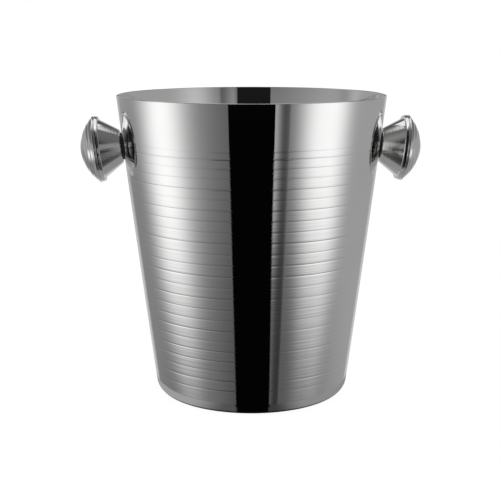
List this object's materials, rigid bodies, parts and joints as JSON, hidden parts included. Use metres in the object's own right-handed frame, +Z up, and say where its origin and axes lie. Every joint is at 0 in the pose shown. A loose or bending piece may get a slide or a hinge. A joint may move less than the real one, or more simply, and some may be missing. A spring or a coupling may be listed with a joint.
{
  "type": "champagne bucket",
  "caption": "Tapered round wine cooler in mirror-polished silver, with fine engraved rings and a flared, dome-capped knob grip screwed to each side.",
  "frame": {"origin": "Centre of the standing ring's circle, on the surface that the bucket stands on.", "axes": "+Z is up through the middle of the mouth. The two knobs lie along X. Y goes through the plain sides."},
  "size_m": [0.2608, 0.2049, 0.231],
  "materials": {
    "polished_silver": "mirror-polished silver plate with faint turning lines",
    "black_washer": "smooth satin black",
    "black_rubber": "matt black rubber",
    "boss_brass": "turned brass",
    "fixing_steel": "turned stainless steel"
  },
  "bodies": {
    "root": {"bucket_shell": "polished_silver", "left_outer_washer": "black_washer", "left_knob_cone": "polished_silver", "left_knob_rim_ring": "polished_silver", "left_knob_cap": "polished_silver", "left_knob_boss": "boss_brass", "left_inner_gasket": "black_rubber", "left_screw_washer": "fixing_steel", "left_mounting_screw": "fixing_steel", "right_outer_washer": "black_washer", "right_knob_cone": "polished_silver", "right_knob_rim_ring": "polished_silver", "right_knob_cap": "polished_silver", "right_knob_boss": "boss_brass", "right_inner_gasket": "black_rubber", "right_screw_washer": "fixing_steel", "right_mounting_screw": "fixing_steel"}
  },
  "joints": []
}
